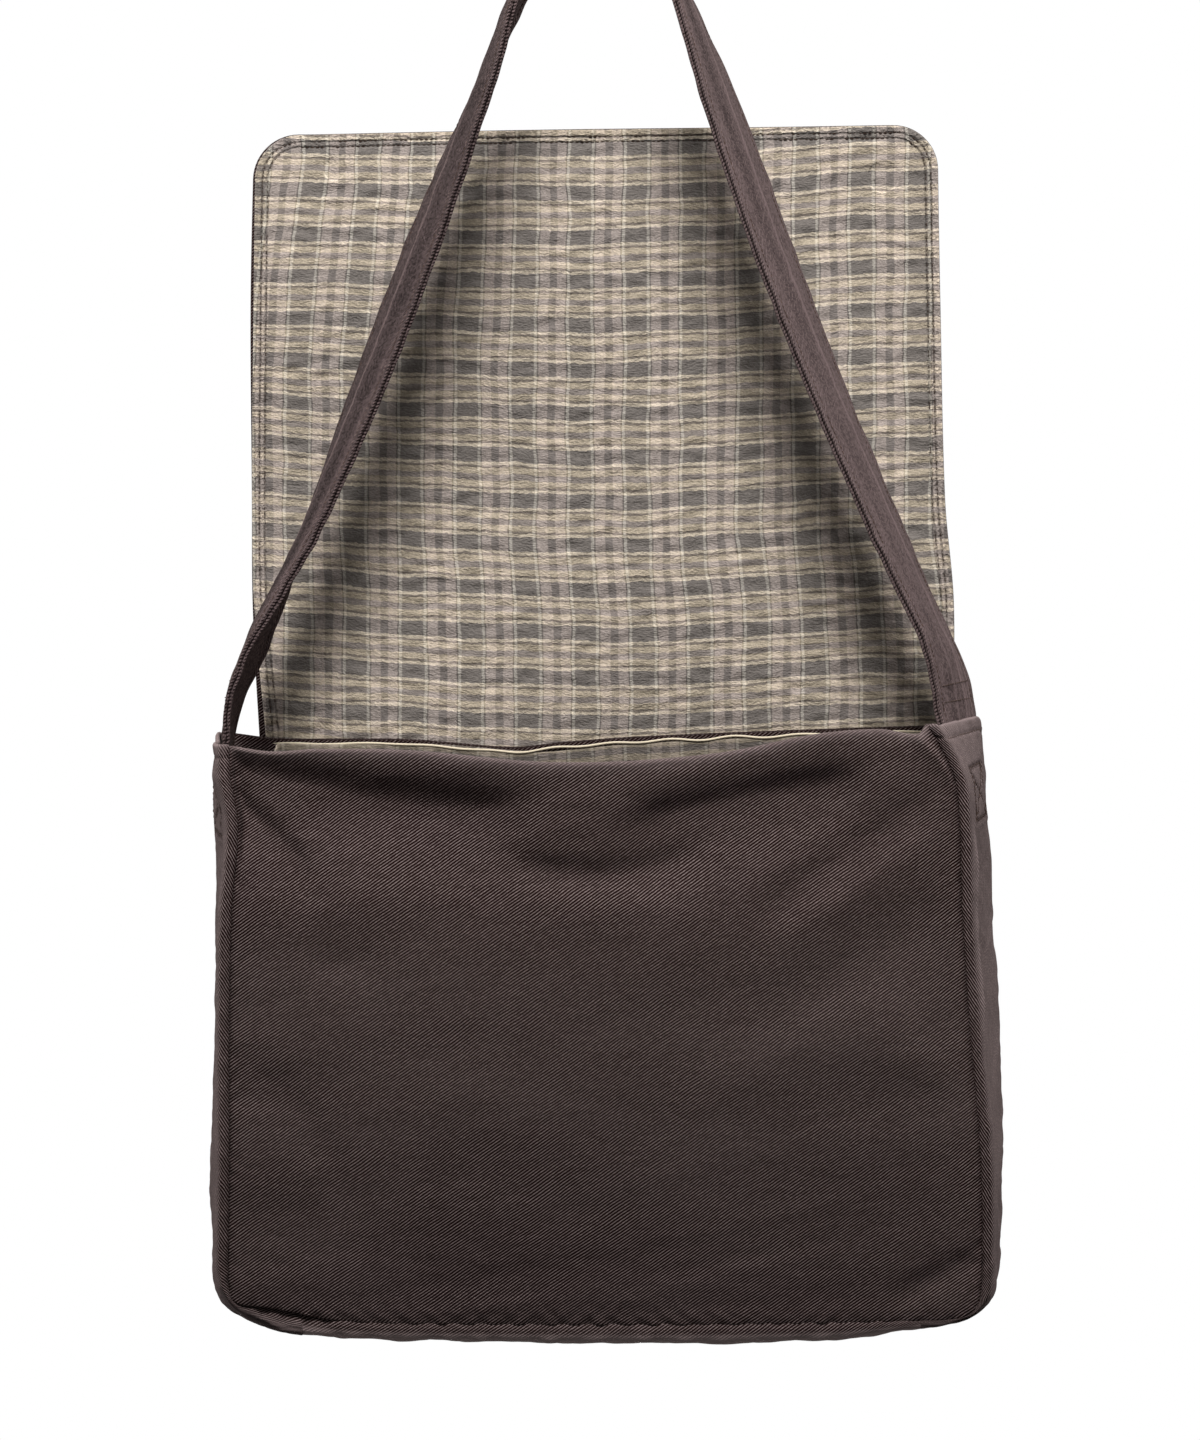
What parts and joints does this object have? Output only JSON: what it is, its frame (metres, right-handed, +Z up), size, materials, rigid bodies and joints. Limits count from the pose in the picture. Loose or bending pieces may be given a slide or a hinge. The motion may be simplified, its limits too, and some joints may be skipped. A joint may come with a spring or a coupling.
{
  "type": "crossbody bag",
  "caption": "Soft twill crossbody bag hanging by its shoulder strap, its flap standing open to show a checked cotton lining.",
  "frame": {"origin": "underside of the strap at the top of its loop, where the bag hangs", "axes": "+Z up, +X to the right of the front view, +Y from the front towards the back, where the flap stands"},
  "size_m": [0.3986, 0.1248, 0.7403],
  "materials": {
    "brown_twill": "heavy brushed cotton twill, dark brown",
    "strap_twill": "the same twill doubled and sewn along both edges",
    "checked_cotton": "crinkled cotton woven in a grey, beige and mauve check"
  },
  "bodies": {
    "root": {"front_panel": "brown_twill", "back_panel": "brown_twill", "left_gusset": "brown_twill", "right_gusset": "brown_twill", "bottom_gusset": "brown_twill", "lining_pouch": "checked_cotton", "flap_outer": "brown_twill", "flap_lining": "checked_cotton", "strap": "strap_twill"}
  },
  "joints": []
}
